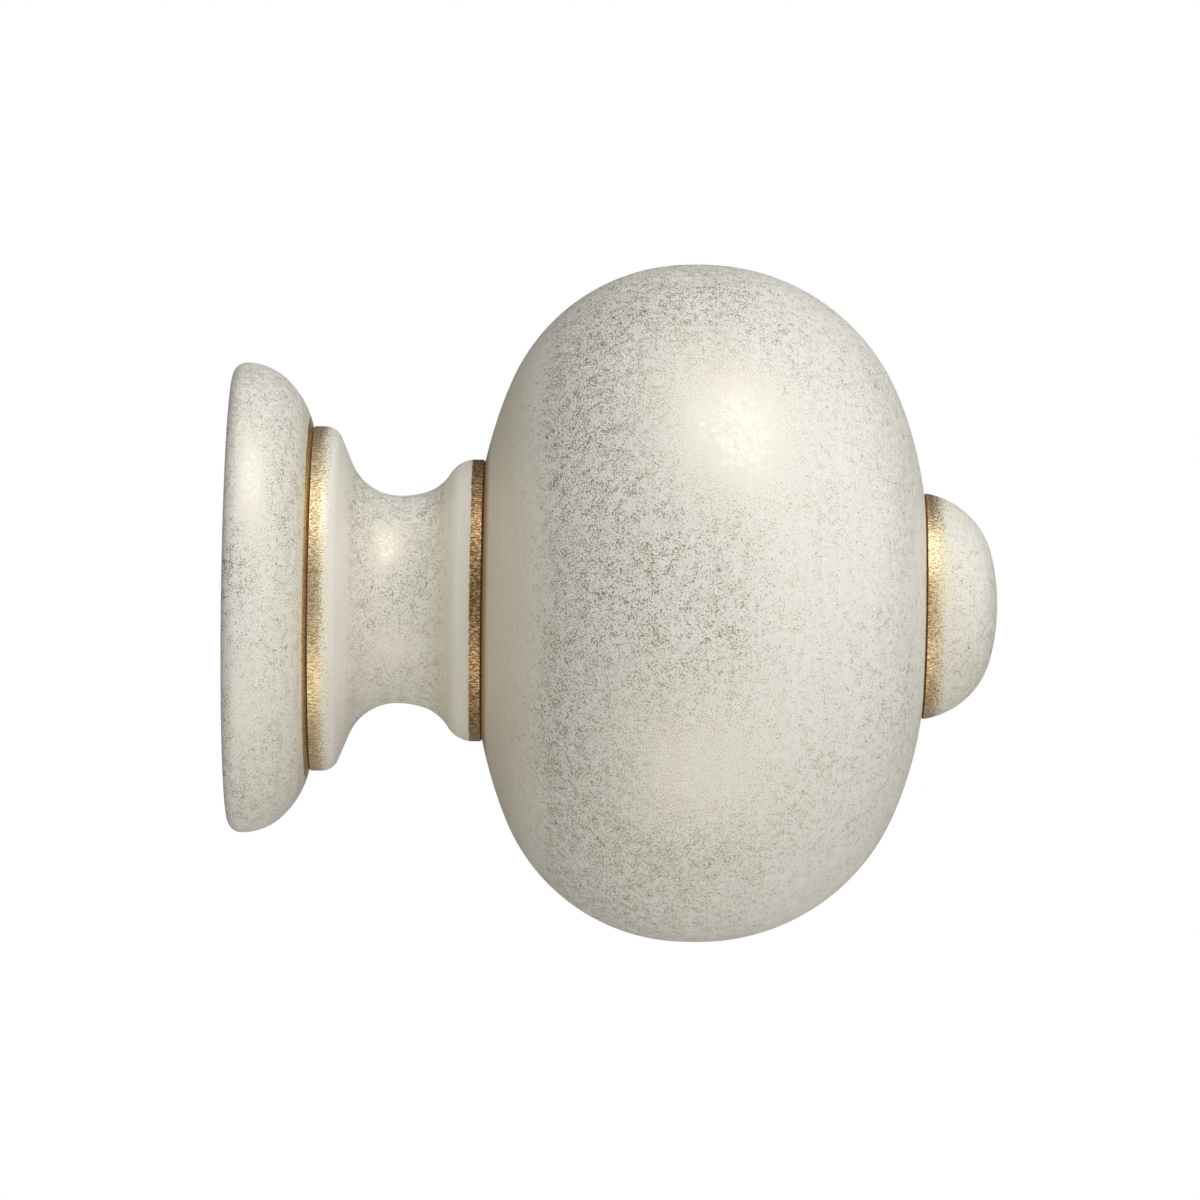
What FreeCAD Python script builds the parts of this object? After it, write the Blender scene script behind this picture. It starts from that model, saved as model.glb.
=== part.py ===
# Curtain pole finial: one body turned in wood about the X axis, in millimetres.
# The origin is the centre of the flat back face, which sits on the end of the pole; +X runs out to the button.

import os
from math import acos, atan2, cos, degrees, hypot, pi, radians, sin, sqrt, tan

import FreeCAD
import Part

# Pilot hole for the joining screw
hole_diameter = 6.0
hole_depth = 32.0
drill_tip_angle = 118.0

# Base flange, an ovolo that oversails the pole
flange_diameter = 55.5
flange_back_round = 1.6
ovolo_radius = 6.9
ovolo_sweep = 43.0
skirt_radius = 10.9

# Collar between flange and neck
collar_diameter = 40.7
collar_land = 1.2
collar_round = 2.1

# Neck, hollowed deeper on the pole side
neck_diameter = 24.5
flare_length = 3.2
scotia_radius = 6.2
neck_run_radius = 10.5
neck_run_sweep = 16.0
neck_rise_radius = 5.3

# Bead that carries the ball
bead_diameter = 33.3
bead_land = 0.9
bead_round = 3.5

# Squashed ball
ball_diameter = 80.0
ball_back_depth = 24.9
ball_front_depth = 26.8
ball_crown_radius = 38.0
ball_crown_half_sweep = 3.0
ball_back_shoulder_radius = 23.0
ball_front_shoulder_radius = 25.0
ball_shoulder_end = 67.0

# Domed button, its widest ring sunk a little into the ball
button_diameter = 26.9
button_sink = 1.2
button_round = 9.6
button_face_radius = 25.0

# Quirks, the fine cuts left by the tool's point in the three inner corners
quirk_width = 0.25
quirk_depth = 0.2


def point(x, r):
    """Point of the half outline, x along the axis and r out from it."""
    return FreeCAD.Vector(x, 0, r)


def on_circle(centre, radius, lean):
    """Point of a circle, lean in radians from straight out, positive towards the button."""
    return point(centre.x + radius * sin(lean), centre.z + radius * cos(lean))


def line(start, end):
    return Part.LineSegment(start, end).toShape()


def arc(centre, radius, start_lean, end_lean):
    """Arc of a circle between two leans."""
    middle_lean = (start_lean + end_lean) / 2
    return Part.Arc(
        on_circle(centre, radius, start_lean),
        on_circle(centre, radius, middle_lean),
        on_circle(centre, radius, end_lean),
    ).toShape()


def arc_leaving(start, way, end):
    """Arc that leaves its start along a given way and stops at its end."""
    chord = end - start
    across = way - chord * (way.dot(chord) / chord.dot(chord))
    half_turn = atan2(across.Length, way.dot(chord) / chord.Length)
    rise = chord.Length / 2 * tan(half_turn / 2)
    middle = (start + end) * 0.5 + across * (rise / across.Length)
    return Part.Arc(start, middle, end).toShape()


flange_radius = flange_diameter / 2
collar_radius = collar_diameter / 2
neck_radius = neck_diameter / 2
bead_radius = bead_diameter / 2
ball_radius = ball_diameter / 2
button_radius = button_diameter / 2
outline = []

# Back face and its rounded edge
back_centre = point(0, 0)
back_edge = point(0, flange_radius - flange_back_round)
outline.append(line(back_centre, back_edge))
back_round_centre = point(flange_back_round, flange_radius - flange_back_round)
outline.append(arc(back_round_centre, flange_back_round, -pi / 2, 0))

# Flange: an ovolo that flattens into a skirt down to the collar
ovolo_lean = radians(ovolo_sweep)
ovolo_centre = point(flange_back_round, flange_radius - ovolo_radius)
outline.append(arc(ovolo_centre, ovolo_radius, 0, ovolo_lean))
skirt_centre = on_circle(ovolo_centre, ovolo_radius - skirt_radius, ovolo_lean)
skirt_lean = acos((collar_radius - skirt_centre.z) / skirt_radius)
outline.append(arc(skirt_centre, skirt_radius, ovolo_lean, skirt_lean))

# Quirk and collar land
collar_corner = on_circle(skirt_centre, skirt_radius, skirt_lean)
collar_quirk = point(collar_corner.x + quirk_width / 2, collar_radius - quirk_depth)
collar_start = point(collar_corner.x + quirk_width, collar_radius)
collar_end = point(collar_start.x + collar_land, collar_radius)
outline.append(line(collar_corner, collar_quirk))
outline.append(line(collar_quirk, collar_start))
outline.append(line(collar_start, collar_end))

# Collar shoulder, straight flare and scotia, at the lean that brings them down to the neck
neck_drop = collar_radius - neck_radius
both_radii = collar_round + scotia_radius
flare_lean = acos((both_radii - neck_drop) / hypot(both_radii, flare_length)) - atan2(flare_length, both_radii)
neck_x = collar_end.x + both_radii * sin(flare_lean) + flare_length * cos(flare_lean)
shoulder_centre = point(collar_end.x, collar_radius - collar_round)
scotia_centre = point(neck_x, neck_radius + scotia_radius)
flare_start = on_circle(shoulder_centre, collar_round, flare_lean)
flare_end = on_circle(scotia_centre, -scotia_radius, flare_lean)
outline.append(arc(shoulder_centre, collar_round, 0, flare_lean))
outline.append(line(flare_start, flare_end))
outline.append(arc(scotia_centre, -scotia_radius, flare_lean, 0))

# Slow run out of the neck, tighter rise and round of the bead
run_lean = -radians(neck_run_sweep)
run_centre = point(neck_x, neck_radius + neck_run_radius)
outline.append(arc(run_centre, -neck_run_radius, 0, run_lean))
rise_centre = on_circle(run_centre, neck_rise_radius - neck_run_radius, run_lean)
bead_centre_drop = rise_centre.z - (bead_radius - bead_round)
rise_lean = -acos(bead_centre_drop / (neck_rise_radius + bead_round))
bead_centre = on_circle(rise_centre, -(neck_rise_radius + bead_round), rise_lean)
outline.append(arc(rise_centre, -neck_rise_radius, run_lean, rise_lean))
outline.append(arc(bead_centre, bead_round, rise_lean, 0))

# Bead land and quirk against the ball
bead_start = point(bead_centre.x, bead_radius)
bead_end = point(bead_start.x + bead_land, bead_radius)
bead_quirk = point(bead_end.x + quirk_width / 2, bead_radius - quirk_depth)
ball_start = point(bead_end.x + quirk_width, bead_radius)
outline.append(line(bead_start, bead_end))
outline.append(line(bead_end, bead_quirk))
outline.append(line(bead_quirk, ball_start))

# Ball: a flat crown, two shoulders and the flanks down to bead and button
equator_x = ball_start.x + ball_back_depth
crown_lean = radians(ball_crown_half_sweep)
flank_lean = radians(ball_shoulder_end)
crown_centre = point(equator_x, ball_radius - ball_crown_radius)
back_shoulder_centre = on_circle(crown_centre, ball_crown_radius - ball_back_shoulder_radius, -crown_lean)
front_shoulder_centre = on_circle(crown_centre, ball_crown_radius - ball_front_shoulder_radius, crown_lean)
back_flank_top = on_circle(back_shoulder_centre, ball_back_shoulder_radius, -flank_lean)
front_flank_top = on_circle(front_shoulder_centre, ball_front_shoulder_radius, flank_lean)
button_ring_x = equator_x + ball_front_depth - button_sink
button_round_centre = point(button_ring_x, button_radius - button_round)
button_corner_x = equator_x + ball_front_depth
button_corner_r = button_round_centre.z + sqrt(button_round**2 - button_sink**2)
button_corner = point(button_corner_x, button_corner_r)
outline.append(arc_leaving(back_flank_top, point(-cos(flank_lean), -sin(flank_lean)), ball_start))
outline.append(arc(back_shoulder_centre, ball_back_shoulder_radius, -flank_lean, -crown_lean))
outline.append(arc(crown_centre, ball_crown_radius, -crown_lean, crown_lean))
outline.append(arc(front_shoulder_centre, ball_front_shoulder_radius, crown_lean, flank_lean))
outline.append(arc_leaving(front_flank_top, point(cos(flank_lean), -sin(flank_lean)), button_corner))

# Button: quirk, rounded side and shallow domed face, closed on the axis
button_start_lean = pi / 2 - acos((button_sink + quirk_width) / button_round)
button_start = on_circle(button_round_centre, button_round, button_start_lean)
button_quirk = point(button_corner_x + quirk_width / 2, button_corner_r - quirk_depth)
face_set_back = sqrt((button_face_radius - button_round) ** 2 - button_round_centre.z**2)
face_centre = point(button_ring_x - face_set_back, 0)
face_lean = atan2(face_set_back, button_round_centre.z)
button_apex = point(face_centre.x + button_face_radius, 0)
outline.append(line(button_corner, button_quirk))
outline.append(line(button_quirk, button_start))
outline.append(arc(button_round_centre, button_round, button_start_lean, face_lean))
outline.append(arc(face_centre, button_face_radius, face_lean, pi / 2))
outline.append(line(button_apex, back_centre))

# Turn the outline about the axis
half_section = Part.Face(Part.Wire(Part.__sortEdges__(outline)))
axis = FreeCAD.Vector(1, 0, 0)
turned = half_section.revolve(back_centre, axis, 360)

# Drill the pilot hole, with the cone of the drill's tip at its end
hole_radius = hole_diameter / 2
tip_length = hole_radius / tan(radians(drill_tip_angle / 2))
hole_wall = Part.makeCylinder(hole_radius, hole_depth, back_centre, axis)
hole_tip = Part.makeCone(hole_radius, 0, tip_length, point(hole_depth, 0), axis)
finial = turned.cut(hole_wall.fuse(hole_tip)).removeSplitter()

os.makedirs("parts", exist_ok=True)
finial.exportStep("parts/finial.step")
print("valid", finial.isValid(), "solids", len(finial.Solids), "length", round(button_apex.x, 2))
print("volume", round(finial.Volume, 1), "neck at", round(neck_x, 2), "equator at", round(equator_x, 2))
print("flare lean", round(degrees(flare_lean), 1), "rise lean", round(degrees(rise_lean), 1))
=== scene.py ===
# Curtain pole finial, turned in wood and finished in flecked antique cream with gold in its inner corners.
from math import acos, atan2, cos, hypot, pi, radians, sin, sqrt, tan

import bpy
import numpy as np
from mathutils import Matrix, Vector


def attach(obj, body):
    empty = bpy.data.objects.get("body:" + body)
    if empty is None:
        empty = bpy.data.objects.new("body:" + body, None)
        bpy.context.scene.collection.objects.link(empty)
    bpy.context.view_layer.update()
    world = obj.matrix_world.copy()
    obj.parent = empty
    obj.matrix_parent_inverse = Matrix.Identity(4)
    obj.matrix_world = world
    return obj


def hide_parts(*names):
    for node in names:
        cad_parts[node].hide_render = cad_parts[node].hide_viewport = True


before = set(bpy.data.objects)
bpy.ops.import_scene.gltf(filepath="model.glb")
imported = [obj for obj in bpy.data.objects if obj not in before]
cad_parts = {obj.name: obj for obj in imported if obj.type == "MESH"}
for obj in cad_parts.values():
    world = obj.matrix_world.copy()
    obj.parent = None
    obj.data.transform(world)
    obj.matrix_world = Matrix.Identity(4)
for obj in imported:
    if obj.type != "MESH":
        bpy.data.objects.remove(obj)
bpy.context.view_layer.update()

# Turned body
# One piece of close-grained hardwood, turned between centres, with a hole drilled up its axis for the screw
# that holds it to its pole. From the pole outwards: flange, collar, hollowed neck, bead, squashed ball and
# domed button. Sizes are in millimetres, along the axis from the back and out from the axis.
MM = 0.001

hole_radius = 3.0
hole_depth = 32.0
drill_tip_angle = 118.0
flange_radius = 27.75
flange_back_round = 1.6
ovolo_radius = 6.9
ovolo_lean = radians(43.0)
skirt_radius = 10.9
collar_radius = 20.35
collar_land = 1.2
collar_round = 2.1
neck_radius = 12.25
flare_length = 3.2
scotia_radius = 6.2
neck_run_radius = 10.5
neck_run_lean = radians(16.0)
neck_rise_radius = 5.3
bead_radius = 16.65
bead_land = 0.9
bead_round = 3.5
ball_radius = 40.0
ball_back_depth = 24.9
ball_front_depth = 26.8
ball_crown_radius = 38.0
ball_crown_lean = radians(3.0)
ball_back_shoulder_radius = 23.0
ball_front_shoulder_radius = 25.0
ball_flank_lean = radians(67.0)
button_radius = 13.45
button_sink = 1.2
button_round = 9.6
button_face_radius = 25.0
quirk_width = 0.25
quirk_depth = 0.2

# How finely the outline and the turn are divided, how close two points are one, and the angle from which an
# edge is shaded sharp
longest_step = 0.55
widest_turn = radians(7.0)
turns_around = 224
same_point = 1e-6
sharp_from = radians(25.0)


def on_circle(centre, radius, lean):
    """Point at centre plus radius times (sine, cosine) of its lean from straight out towards the button."""
    return np.array([centre[0] + radius * sin(lean), centre[1] + radius * cos(lean)])


def arc(centre, radius, start_lean, end_lean):
    """Points of a circle at even leans, close enough for both the longest step and the widest turn."""
    sweep = abs(end_lean - start_lean)
    count = 1 + int(np.ceil(max(sweep * abs(radius) / longest_step, sweep / widest_turn)))
    lean = np.linspace(start_lean, end_lean, count + 1)
    return np.stack([centre[0] + radius * np.sin(lean), centre[1] + radius * np.cos(lean)], axis=1)


def line(start, end):
    """Points at even steps along a straight line."""
    count = 1 + int(hypot(end[0] - start[0], end[1] - start[1]) / longest_step)
    share = np.linspace(0, 1, count + 1)[:, None]
    return np.asarray(start) * (1 - share) + np.asarray(end) * share


def arc_leaving(start, way, end):
    """Arc that leaves its start along a way and stops at its end: its centre is square to the way, and as far
    from the start as from the end."""
    across = np.array([way[1], -way[0]])
    chord = np.asarray(end) - start
    radius = chord @ chord / (2 * (chord @ across))
    centre = start + across * radius
    start_lean = atan2(*(start - centre))
    end_lean = atan2(*(np.asarray(end) - centre))
    return arc(centre, abs(radius), start_lean, end_lean)


# Back: drilled hole, flat face and its rounded edge
tip_length = hole_radius / tan(radians(drill_tip_angle / 2))
hole_tip = (hole_depth + tip_length, 0)
hole_end = (hole_depth, hole_radius)
hole_mouth = (0, hole_radius)
back_edge = (0, flange_radius - flange_back_round)
edge_centre = (flange_back_round, flange_radius - flange_back_round)

# Flange: an ovolo that flattens into a skirt down to the collar
ovolo_centre = (flange_back_round, flange_radius - ovolo_radius)
skirt_centre = on_circle(ovolo_centre, ovolo_radius - skirt_radius, ovolo_lean)
skirt_lean = acos((collar_radius - skirt_centre[1]) / skirt_radius)
collar_corner = on_circle(skirt_centre, skirt_radius, skirt_lean)
collar_quirk = (collar_corner[0] + quirk_width / 2, collar_radius - quirk_depth)
collar_start = (collar_corner[0] + quirk_width, collar_radius)
collar_end = (collar_start[0] + collar_land, collar_radius)

# Neck: collar shoulder, straight flare and scotia, then a slow run and a tighter rise to the bead
neck_drop = collar_radius - neck_radius
both_radii = collar_round + scotia_radius
flare_slope = hypot(both_radii, flare_length)
flare_lean = acos((both_radii - neck_drop) / flare_slope) - atan2(flare_length, both_radii)
neck_x = collar_end[0] + both_radii * sin(flare_lean) + flare_length * cos(flare_lean)
shoulder_centre = (collar_end[0], collar_radius - collar_round)
scotia_centre = (neck_x, neck_radius + scotia_radius)
run_centre = (neck_x, neck_radius + neck_run_radius)
rise_centre = on_circle(run_centre, neck_rise_radius - neck_run_radius, -neck_run_lean)
rise_lean = -acos((rise_centre[1] - bead_radius + bead_round) / (neck_rise_radius + bead_round))
bead_centre = on_circle(rise_centre, -(neck_rise_radius + bead_round), rise_lean)
bead_start = (bead_centre[0], bead_radius)
bead_end = (bead_start[0] + bead_land, bead_radius)
bead_quirk = (bead_end[0] + quirk_width / 2, bead_radius - quirk_depth)
ball_start = (bead_end[0] + quirk_width, bead_radius)

# Ball: a flat crown, two shoulders and the flanks down to bead and button
equator_x = ball_start[0] + ball_back_depth
crown_centre = (equator_x, ball_radius - ball_crown_radius)
back_centre = on_circle(crown_centre, ball_crown_radius - ball_back_shoulder_radius, -ball_crown_lean)
front_centre = on_circle(crown_centre, ball_crown_radius - ball_front_shoulder_radius, ball_crown_lean)
back_flank_top = on_circle(back_centre, ball_back_shoulder_radius, -ball_flank_lean)
front_flank_top = on_circle(front_centre, ball_front_shoulder_radius, ball_flank_lean)
back_way = np.array([-cos(ball_flank_lean), -sin(ball_flank_lean)])
front_way = np.array([cos(ball_flank_lean), -sin(ball_flank_lean)])

# Button: rounded side and shallow domed face, its widest ring sunk into the ball
button_corner_x = equator_x + ball_front_depth
button_centre = (button_corner_x - button_sink, button_radius - button_round)
button_corner = (button_corner_x, button_centre[1] + sqrt(button_round**2 - button_sink**2))
button_quirk = (button_corner_x + quirk_width / 2, button_corner[1] - quirk_depth)
button_start_lean = pi / 2 - acos((button_sink + quirk_width) / button_round)
button_start = on_circle(button_centre, button_round, button_start_lean)
face_set_back = sqrt((button_face_radius - button_round) ** 2 - button_centre[1] ** 2)
face_centre = (button_centre[0] - face_set_back, 0)
face_lean = atan2(face_set_back, button_centre[1])

outline = np.concatenate(
    [
        line(hole_tip, hole_end),
        line(hole_end, hole_mouth),
        line(hole_mouth, back_edge),
        arc(edge_centre, flange_back_round, -pi / 2, 0),
        arc(ovolo_centre, ovolo_radius, 0, ovolo_lean),
        arc(skirt_centre, skirt_radius, ovolo_lean, skirt_lean),
        line(collar_corner, collar_quirk),
        line(collar_quirk, collar_start),
        line(collar_start, collar_end),
        arc(shoulder_centre, collar_round, 0, flare_lean),
        arc(scotia_centre, -scotia_radius, flare_lean, 0),
        arc(run_centre, -neck_run_radius, 0, -neck_run_lean),
        arc(rise_centre, -neck_rise_radius, -neck_run_lean, rise_lean),
        arc(bead_centre, bead_round, rise_lean, 0),
        line(bead_start, bead_end),
        line(bead_end, bead_quirk),
        line(bead_quirk, ball_start),
        arc_leaving(back_flank_top, back_way, ball_start)[::-1],
        arc(back_centre, ball_back_shoulder_radius, -ball_flank_lean, -ball_crown_lean),
        arc(crown_centre, ball_crown_radius, -ball_crown_lean, ball_crown_lean),
        arc(front_centre, ball_front_shoulder_radius, ball_crown_lean, ball_flank_lean),
        arc_leaving(front_flank_top, front_way, button_corner),
        line(button_corner, button_quirk),
        line(button_quirk, button_start),
        arc(button_centre, button_round, button_start_lean, face_lean),
        arc(face_centre, button_face_radius, face_lean, pi / 2),
    ]
)
moved = np.hypot(*np.diff(outline, axis=0).T) > same_point
outline = outline[np.concatenate([[True], moved])]


def turned(outline, turns):
    """Surface of revolution: each outline point (x, r) becomes a ring (x, r sin t, r cos t), with one vertex
    at each end on the axis. Returns vertices, quads and end triangles, facing outwards."""
    turn = np.arange(turns) * 2 * pi / turns
    x, r = outline[1:-1, :1], outline[1:-1, 1:]
    rings = np.stack([x + 0 * turn, r * np.sin(turn), r * np.cos(turn)], axis=-1)
    ends = np.array([[outline[0, 0], 0, 0], [outline[-1, 0], 0, 0]])
    vertices = np.concatenate([rings.reshape(-1, 3), ends])
    count = len(x)
    here = np.arange(turns)
    after = (here + 1) % turns
    row = np.arange(count - 1)[:, None] * turns
    next_row = row + turns
    quads = np.stack([row + here, next_row + here, next_row + after, row + after], axis=-1).reshape(-1, 4)
    last = (count - 1) * turns
    first_pole, last_pole = count * turns, count * turns + 1
    first_fan = np.stack([np.full(turns, first_pole), here, after], axis=-1)
    last_fan = np.stack([np.full(turns, last_pole), last + after, last + here], axis=-1)
    return vertices, quads, np.concatenate([first_fan, last_fan])


vertices, quads, fans = turned(outline * MM, turns_around)
mesh = bpy.data.meshes.new("finial_body")
mesh.from_pydata(vertices.tolist(), [], quads.tolist() + fans.tolist())
mesh.shade_smooth()
mesh.set_sharp_from_angle(angle=sharp_from)
body = bpy.data.objects.new("finial_body", mesh)
bpy.context.scene.collection.objects.link(body)

# Run along the outline in millimetres from the hole's tip, which places the bands of the finish
steps = np.hypot(*np.diff(outline, axis=0).T)
run = np.concatenate([[0.0], np.cumsum(steps)])


def run_at(place):
    """Run of the outline point nearest to a place."""
    return run[np.argmin(np.hypot(*(outline - place).T))]


def around(along_outline):
    """One value for each outline point, repeated round its ring, with the two ends on the axis last."""
    rings = np.repeat(along_outline[1:-1], turns_around)
    return np.concatenate([rings, along_outline[:1], along_outline[-1:]])


# Where the finish changes, as pairs of a place in millimetres and an amount there. The first two go along
# the axis from the back: flecking raises or lowers the noise that flecks are cut from, so that they are
# thick on the ball's back shoulder and missing by the corners, and the second is the share of olive over
# the cream: a glaze by the corners, and on the ball's back flank painted shade and a painted reflection
# of the neck.
flecking_along = (
    (0.0, 0.0), (9.0, -0.01),  # flange
    (11.2, -0.25), (13.2, -0.25),  # collar
    (14.4, 0.0), (25.0, 0.0),  # neck
    (26.6, -0.25), (29.8, -0.25),  # bead
    (31.0, -0.1), (35.5, -0.07),  # ball's back flank
    (38.0, 0.03), (42.0, 0.035), (50.0, 0.028), (60.0, 0.012),  # its back shoulder and crown
    (66.0, -0.03), (72.0, -0.04), (81.6, -0.02),  # its front
    (83.0, -0.04), (87.0, -0.02), (90.5, -0.02),  # button
)
glaze_and_shade_along = (
    (0.0, 0.0), (8.0, 0.05), (9.4, 0.4),  # flange
    (11.5, 0.0), (14.0, 0.06),  # collar
    (23.0, 0.06), (24.6, 0.3),  # neck
    (26.2, 0.3), (27.0, 0.05),  # bead
    # On the ball's back flank this olive is painted shade and a painted reflection of the neck
    (29.9, 0.5), (31.0, 0.45), (34.0, 0.3), (37.0, 0.1), (40.0, 0.0),  # ball's back
    (81.6, 0.0), (83.0, 0.25), (86.0, 0.08), (90.5, 0.02),  # button
)

# The last two go along the outline: the stain past the bead's corner and the bare wood inside the back edge
staining_past_bead = ((-0.1, 0.0), (0.0, 0.9), (1.1, 0.7), (2.8, 0.0))
bareness_past_edge = ((-7.0, 1.0), (0.0, 0.0))

x_along = outline[:, 0]
past_bead = run - run_at(ball_start)
past_edge = run - run_at(back_edge)
for name, along_outline in (
    ("run", run),
    ("flecking", np.interp(x_along, *zip(*flecking_along))),
    ("glaze_and_shade", np.where(past_edge > 0, np.interp(x_along, *zip(*glaze_and_shade_along)), 0.0)),
    ("staining", np.interp(past_bead, *zip(*staining_past_bead))),
    ("bareness", np.interp(past_edge, *zip(*bareness_past_edge))),
):
    mesh.attributes.new(name, "FLOAT", "POINT").data.foreach_set("value", around(along_outline))


def linear(code):
    """sRGB hex code to linear red, green, blue and alpha."""
    value = np.array([int(code[k : k + 2], 16) for k in (0, 2, 4)]) / 255
    value = np.where(value <= 0.04045, value / 12.92, ((value + 0.055) / 1.055) ** 2.4)
    return (*value, 1.0)


def add(tree, kind, inputs=None, **settings):
    """Adds a node with its settings; each input is linked where it is given a socket, and set otherwise.
    Inputs 1 to 4 of a map range are from low, from high, to low and to high. Inputs 2 and 3 of a mix are its
    two numbers, and 6 and 7 its two colours."""
    node = tree.nodes.new("ShaderNode" + kind)
    for name, value in settings.items():
        setattr(node, name, value)
    for name, value in (inputs or {}).items():
        if isinstance(value, bpy.types.NodeSocket):
            tree.links.new(value, node.inputs[name])
        else:
            node.inputs[name].default_value = value
    return node


# Antique cream paint: a satin emulsion sponged and wiped over gold size, so that pinholes of gold leaf show
# through it as flecks, dark where they mirror a dark room and warm where they mirror a light. The finest
# real ones would be lost in the render, so the flecks are drawn slightly coarser. An olive glaze tones the
# cream by the corners, and the same olive over the ball's back flank is painted shade and a painted
# reflection of the neck. The three inner corners are bare crinkled gold, with a dark line of wax and
# painted shade in the very corner and a brown stain on the ball by the bead. The back face is bare end grain.
paint = bpy.data.materials.new("antique_cream_paint")
paint.use_nodes = True
tree = paint.node_tree
shader = tree.nodes["Principled BSDF"]
place = add(tree, "TexCoord").outputs["Object"]
in_mm = add(tree, "VectorMath", {0: place, "Scale": 1 / MM}, operation="SCALE").outputs[0]
run_mm, flecking, glaze_and_shade, staining, bareness = (
    add(tree, "Attribute", attribute_name=name).outputs["Fac"]
    for name in ("run", "flecking", "glaze_and_shade", "staining", "bareness")
)

# Most of a noise lies between these two values
noise_low = 0.3
noise_high = 0.7

# Clouds of thicker and thinner paint
cloud_size = 16.0
cloud = add(tree, "TexNoise", {"Vector": in_mm, "Scale": 1 / cloud_size, "Detail": 4.0, "Roughness": 0.6})
cloud = cloud.outputs["Fac"]

# Flecks: the peaks of a fine noise, more of them in clumps and where the paint is thin
fleck_size = 0.16
clump_size = 1.0
clump_lift = 0.08
cloud_lift = 0.03
fleck_edge = 0.57
fleck_middle = 0.63
fine = add(tree, "TexNoise", {"Vector": in_mm, "Scale": 1 / fleck_size, "Detail": 1.0}).outputs["Fac"]
clump = add(tree, "TexNoise", {"Vector": in_mm, "Scale": 1 / clump_size, "Detail": 3.0, "Roughness": 0.6})
clump = clump.outputs["Fac"]
peaks = fine
for noise, lift in ((cloud, cloud_lift), (clump, clump_lift)):
    lifted = add(tree, "MapRange", {"Value": noise, 1: noise_low, 2: noise_high, 3: -lift, 4: lift})
    peaks = add(tree, "Math", {0: peaks, 1: lifted.outputs[0]}, operation="ADD").outputs[0]
peaks = add(tree, "Math", {0: peaks, 1: flecking}, operation="ADD").outputs[0]
flecks = add(tree, "MapRange", {"Value": peaks, 1: fleck_edge, 2: fleck_middle}).outputs[0]

# Brush streaks: a noise drawn out round the axis, by squeezing the two directions across it
streak_width = 0.25
streak_squeeze = 0.12
streak_edge = 0.35
streak_middle = 0.65
squeeze = (1 / streak_width, streak_squeeze, streak_squeeze)
drawn_out = add(tree, "VectorMath", {0: in_mm, 1: squeeze}, operation="MULTIPLY").outputs[0]
streaks = add(tree, "TexNoise", {"Vector": drawn_out, "Scale": 1.0, "Detail": 3.0}).outputs["Fac"]
streaks = add(tree, "MapRange", {"Value": streaks, 1: streak_edge, 2: streak_middle}).outputs[0]

# Bare gold: each corner has the millimetres by which gold leads it, the land that it covers past it and the
# way over which it then breaks up into specks, and how far a brown patina dulls it before and after it
crinkle_size = 0.2
crinkle_squeeze = (0.45, 1.0, 1.0)
lead_blur = 0.1
patina_from = -0.05
patina_to = 0.3
# Half-width and fade of the dark line of wax and painted crease shade along each corner
wax_and_shade_middle = 0.05
wax_and_shade_edge = 0.2
speck_lift = 0.45
gold_edge = 0.42
gold_middle = 0.62
along_axis = add(tree, "VectorMath", {0: in_mm, 1: crinkle_squeeze}, operation="MULTIPLY").outputs[0]
crinkle = add(tree, "TexNoise", {"Vector": along_axis, "Scale": 1 / crinkle_size, "Detail": 2.0})
crinkle = crinkle.outputs["Fac"]
gilding = 0.0
wax_and_shade = 0.0
patina = 0.0
for corner, lead, land, fade, patina_before, patina_after in (
    (collar_quirk, 1.5, 0.7, 2.4, 0.4, 0.25),
    (bead_quirk, 1.55, 0.1, 0.3, 0.78, 0.78),
    (button_quirk, 0.3, 0.7, 2.6, 0.7, 0.38),
):
    past = add(tree, "Math", {0: run_mm, 1: run_at(corner)}, operation="SUBTRACT").outputs[0]
    begun = add(tree, "MapRange", {"Value": past, 1: -lead - lead_blur, 2: -lead + lead_blur}).outputs[0]
    left = add(tree, "MapRange", {"Value": past, 1: land, 2: land + fade, 3: 1.0, 4: 0.0}).outputs[0]
    band = add(tree, "Math", {0: begun, 1: left}, operation="MULTIPLY").outputs[0]
    gilding = add(tree, "Math", {0: gilding, 1: band}, operation="MAXIMUM").outputs[0]
    patina_here = add(
        tree, "MapRange", {"Value": past, 1: patina_from, 2: patina_to, 3: patina_before, 4: patina_after}
    ).outputs[0]
    patina_here = add(tree, "Math", {0: patina_here, 1: band}, operation="MULTIPLY").outputs[0]
    patina = add(tree, "Math", {0: patina, 1: patina_here}, operation="MAXIMUM").outputs[0]
    # Dark line along each corner: partly wax, partly painted crease shade
    apart = add(tree, "Math", {0: past}, operation="ABSOLUTE").outputs[0]
    wax_and_shade_here = add(tree, "MapRange", {"Value": apart, 1: wax_and_shade_middle, 2: wax_and_shade_edge, 3: 1.0, 4: 0.0}).outputs[0]
    wax_and_shade = add(tree, "Math", {0: wax_and_shade, 1: wax_and_shade_here}, operation="MAXIMUM").outputs[0]
specks = add(tree, "MapRange", {"Value": fine, 1: noise_low, 2: noise_high, 3: -speck_lift, 4: speck_lift})
gilding = add(tree, "Math", {0: gilding, 1: specks.outputs[0]}, operation="ADD").outputs[0]
gilding = add(tree, "MapRange", {"Value": gilding, 1: gold_edge, 2: gold_middle}).outputs[0]

# Colour, from the paint up to the dark corner line of wax and painted shade
cream_colour = linear("F2EFE7")
shade_colour = linear("EDE9DE")
# Olive for the glaze by the corners, also painted shade and a painted reflection of the neck on the ball's
# back flank
glaze_and_shade_colour = linear("C4B98E")
stain_colour = linear("A4804F")
fleck_colour = linear("C2B89C")
gold_colour = linear("E9D3A4")
worn_gold_colour = linear("82582E")
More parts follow.
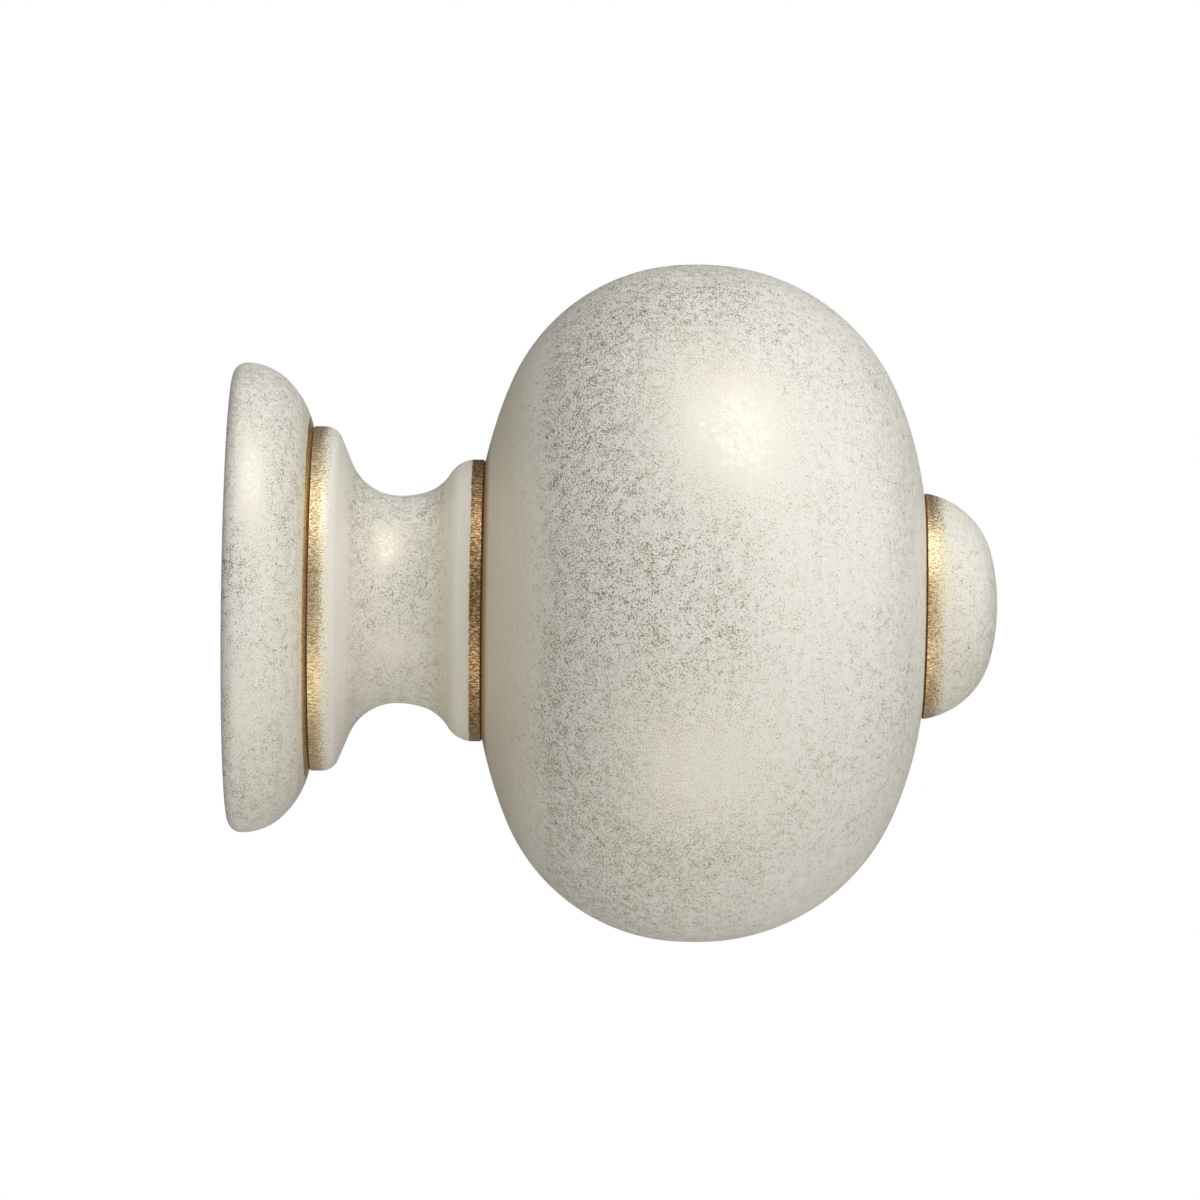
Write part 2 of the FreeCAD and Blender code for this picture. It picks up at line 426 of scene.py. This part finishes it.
# Dark brown for the wax and the painted shade in the corners
wax_and_shade_colour = linear("7A5028")
wear_low = 0.35
wear_high = 0.65
wear_lift = 0.4
cream = add(tree, "Mix", {"Factor": streaks, 6: cream_colour, 7: shade_colour}, data_type="RGBA").outputs[2]
# Olive over the cream: glaze by the corners, painted shade and a painted reflection of the neck on the ball's
# back flank
glazed_and_shaded = add(tree, "Mix", {"Factor": glaze_and_shade, 6: cream, 7: glaze_and_shade_colour}, data_type="RGBA").outputs[2]
stained = add(tree, "Mix", {"Factor": staining, 6: glazed_and_shaded, 7: stain_colour}, data_type="RGBA").outputs[2]
flecked = add(tree, "Mix", {"Factor": flecks, 6: stained, 7: fleck_colour}, data_type="RGBA").outputs[2]
wear = add(tree, "MapRange", {"Value": crinkle, 1: wear_low, 2: wear_high, 3: -wear_lift, 4: wear_lift})
wear = add(tree, "Math", {0: wear.outputs[0], 1: patina}, operation="ADD", use_clamp=True).outputs[0]
gold = add(tree, "Mix", {"Factor": wear, 6: gold_colour, 7: worn_gold_colour}, data_type="RGBA").outputs[2]
gilded = add(tree, "Mix", {"Factor": gilding, 6: flecked, 7: gold}, data_type="RGBA").outputs[2]
# Dark line of wax and painted crease shade in the corners
waxed_and_shaded = add(tree, "Mix", {"Factor": wax_and_shade, 6: gilded, 7: wax_and_shade_colour}, data_type="RGBA").outputs[2]

# Bare end grain on the back: growth rings round a pith off to one side, pores drawn out along the axis, and
# a ragged edge where the paint laps over the rim
wood_colour = linear("DABD93")
late_wood_colour = linear("BC9566")
pore_colour = linear("94704A")
pith = (0.0, 34.0, 21.0)
ring_spacing = 3.0
ring_wobble = 2.5
late_wood_start = 0.3
late_wood_share = 0.45
pore_size = 0.3
pore_squeeze = (0.08, 1.0, 1.0)
pore_edge = 0.55
pore_core = 0.7
pore_share = 0.7
paint_ends = 0.95
wood_begins = 1.05
across_grain = (0.0, 1.0, 1.0)
from_pith = add(tree, "VectorMath", {0: in_mm, 1: pith}, operation="SUBTRACT").outputs[0]
from_pith = add(tree, "VectorMath", {0: from_pith, 1: across_grain}, operation="MULTIPLY").outputs[0]
ring = add(tree, "VectorMath", {0: from_pith}, operation="LENGTH").outputs["Value"]
wobble = add(tree, "Math", {0: cloud, 1: ring_wobble}, operation="MULTIPLY").outputs[0]
ring = add(tree, "Math", {0: ring, 1: 1 / ring_spacing, 2: wobble}, operation="MULTIPLY_ADD").outputs[0]
ring = add(tree, "Math", {0: ring}, operation="FRACT").outputs[0]
late_wood = add(tree, "MapRange", {"Value": ring, 1: late_wood_start, 2: 1.0, 3: 0.0, 4: late_wood_share})
late_wood = late_wood.outputs[0]
grain = add(tree, "VectorMath", {0: in_mm, 1: pore_squeeze}, operation="MULTIPLY").outputs[0]
pores = add(tree, "TexNoise", {"Vector": grain, "Scale": 1 / pore_size, "Detail": 1.0}).outputs["Fac"]
pores = add(tree, "MapRange", {"Value": pores, 1: pore_edge, 2: pore_core, 3: 0.0, 4: pore_share}).outputs[0]
wood = add(tree, "Mix", {"Factor": late_wood, 6: wood_colour, 7: late_wood_colour}, data_type="RGBA")
wood = wood.outputs[2]
wood = add(tree, "Mix", {"Factor": pores, 6: wood, 7: pore_colour}, data_type="RGBA").outputs[2]
ragged = add(tree, "Math", {0: bareness, 1: cloud}, operation="ADD").outputs[0]
unpainted = add(tree, "MapRange", {"Value": ragged, 1: paint_ends, 2: wood_begins}).outputs[0]
finish = add(tree, "Mix", {"Factor": unpainted, 6: waxed_and_shaded, 7: wood}, data_type="RGBA").outputs[2]
tree.links.new(finish, shader.inputs["Base Color"])

# Gold and flecks are metal, the gold bound in a little varnish; the dark corner line of wax and painted
# shade, the paint and the wood are not
gold_metal_share = 0.8
gold_metal = add(tree, "Math", {0: gilding, 1: gold_metal_share}, operation="MULTIPLY").outputs[0]
metal = add(tree, "Mix", {"Factor": gilding, 2: flecks, 3: gold_metal}).outputs[0]
covered = add(tree, "Math", {0: wax_and_shade, 1: unpainted}, operation="MAXIMUM").outputs[0]
metal = add(tree, "Mix", {"Factor": covered, 2: metal, 3: 0.0}).outputs[0]
tree.links.new(metal, shader.inputs["Metallic"])

# Satin paint with smoother flecks, burnished gold with a crinkled surface, and raw wood
paint_roughness = 0.45
fleck_roughness = 0.36
gold_roughness = 0.26
wood_roughness = 0.65
crinkle_height = 0.07
rough = add(tree, "MapRange", {"Value": flecks, 1: 0.0, 2: 1.0, 3: paint_roughness, 4: fleck_roughness})
rough = add(tree, "Mix", {"Factor": gilding, 2: rough.outputs[0], 3: gold_roughness}).outputs[0]
rough = add(tree, "Mix", {"Factor": unpainted, 2: rough, 3: wood_roughness}).outputs[0]
tree.links.new(rough, shader.inputs["Roughness"])
bump = add(tree, "Bump", {"Height": crinkle, "Strength": gilding, "Distance": crinkle_height * MM})
tree.links.new(bump.outputs["Normal"], shader.inputs["Normal"])
mesh.materials.append(paint)

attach(body, "root")
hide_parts("finial")

# Camera
# A long lens level with the axis, about a metre in front, rolled a little as the photograph is.
scene = bpy.context.scene
camera_distance = 969.0
camera_x = 43.6
camera_z = 0.24
camera_roll = radians(-0.75)
camera_data = bpy.data.cameras.new("camera")
camera_data.sensor_width = 36.0
camera_data.lens = 246.0
camera = bpy.data.objects.new("camera", camera_data)
camera.location = (camera_x * MM, -camera_distance * MM, camera_z * MM)
camera.rotation_euler = (pi / 2, camera_roll, 0)
scene.collection.objects.link(camera)
scene.camera = camera

# Floor and backdrop
# A wide pale matt floor well below the finial, and a white card far behind it that just fills the picture.
# The card shows its white only to the camera and in reflections, and lights nothing else.
floor_drop = 600.0
floor_half = 3000.0
floor_colour = linear("D0CDC6")
floor_roughness = 0.9
card_back = 2500.0
card_half = 262.0
square = np.array([(-1, -1), (1, -1), (1, 1), (-1, 1)])


def sheet(name, corners):
    """Flat sheet through four corners, given in millimetres and in order round it."""
    sheet_mesh = bpy.data.meshes.new(name)
    sheet_mesh.from_pydata((corners * MM).tolist(), [], [(0, 1, 2, 3)])
    laid = bpy.data.objects.new(name, sheet_mesh)
    scene.collection.objects.link(laid)
    return laid


floor = sheet("floor", np.column_stack([square * floor_half, np.full(4, -floor_drop)]))
floor_paint = bpy.data.materials.new("pale_matt_floor")
floor_paint.use_nodes = True
floor_shader = floor_paint.node_tree.nodes["Principled BSDF"]
floor_shader.inputs["Base Color"].default_value = floor_colour
floor_shader.inputs["Roughness"].default_value = floor_roughness
floor.data.materials.append(floor_paint)

across, up = (square * card_half).T
card = sheet("card", np.column_stack([across + camera_x, np.full(4, card_back), up]))
card_paper = bpy.data.materials.new("white_card")
card_paper.use_nodes = True
card_tree = card_paper.node_tree
card_tree.nodes.clear()
path = add(card_tree, "LightPath")
seen = path.outputs["Is Camera Ray"]
for ray in ("Is Glossy Ray", "Is Transmission Ray"):
    seen = add(card_tree, "Math", {0: seen, 1: path.outputs[ray]}, operation="MAXIMUM").outputs[0]
glow = add(card_tree, "Emission", {"Color": (1, 1, 1, 1), "Strength": seen})
add(card_tree, "OutputMaterial", {"Surface": glow.outputs[0]})
card.data.materials.append(card_paper)

# Light
# Soft boxes that face the finial: a high key and a panel at the front right, four reflectors low in front,
# and weak panels at the right, overhead and behind. Each is two nested lamps, so that it is brighter in the
# middle, and has azimuth and elevation in degrees, width, height and distance in millimetres, and radiance.
middle = Vector((50.0, 0.0, 0.0)) * MM
inner_share = 0.65
outer_share = 1.35
energy_share = 0.5
for name, azimuth, elevation, width, height, distance, radiance in (
    ("key", -56.0, 57.0, 1000.0, 900.0, 1000.0, 2.9),
    ("panel", -43.0, 6.0, 1600.0, 1600.0, 1600.0, 0.63),
    ("right reflector", -50.0, -27.0, 1000.0, 450.0, 700.0, 0.28),
    ("front reflector", -88.0, -27.0, 1200.0, 450.0, 700.0, 0.1),
    ("left reflector", -125.0, -27.0, 1000.0, 450.0, 700.0, 0.17),
    ("under reflector", -82.0, -56.0, 700.0, 400.0, 420.0, 0.84),
    ("side", 12.0, 18.0, 1700.0, 1700.0, 1600.0, 0.79),
    ("overhead", -150.0, 80.0, 1600.0, 1600.0, 1600.0, 0.34),
    ("behind", 70.0, 62.0, 1600.0, 1600.0, 1600.0, 0.14),
):
    turn, tilt = radians(azimuth), radians(elevation)
    way = Vector((cos(tilt) * cos(turn), cos(tilt) * sin(turn), sin(tilt)))
    ellipse_area = pi / 4 * width * height
    for share in (inner_share, outer_share):
        lamp_data = bpy.data.lights.new(name, "AREA")
        lamp_data.shape = "ELLIPSE"
        lamp_data.size = width * share * MM
        lamp_data.size_y = height * share * MM
        lamp_data.energy = energy_share * radiance * pi * ellipse_area * MM**2
        lamp = bpy.data.objects.new(name, lamp_data)
        lamp.location = middle + way * distance * MM
        lamp.rotation_euler = way.to_track_quat("Z", "Y").to_euler()
        lamp.visible_camera = False
        scene.collection.objects.link(lamp)

# Faint light from the room all round, which is weaker behind the finial
room_front = 0.41
room_back = 0.09
fade_start = -0.4
fade_end = 0.5
world = bpy.data.worlds.new("studio")
scene.world = world
world.use_nodes = True
world_tree = world.node_tree
room = world_tree.nodes["Background"]
room.inputs["Color"].default_value = (1, 1, 1, 1)
toward = add(world_tree, "TexCoord").outputs["Generated"]
back = add(world_tree, "SeparateXYZ", {0: toward}).outputs["Y"]
faint = add(world_tree, "MapRange", {"Value": back, 1: fade_start, 2: fade_end, 3: room_front, 4: room_back})
world_tree.links.new(faint.outputs[0], room.inputs["Strength"])

scene.view_settings.view_transform = "Standard"
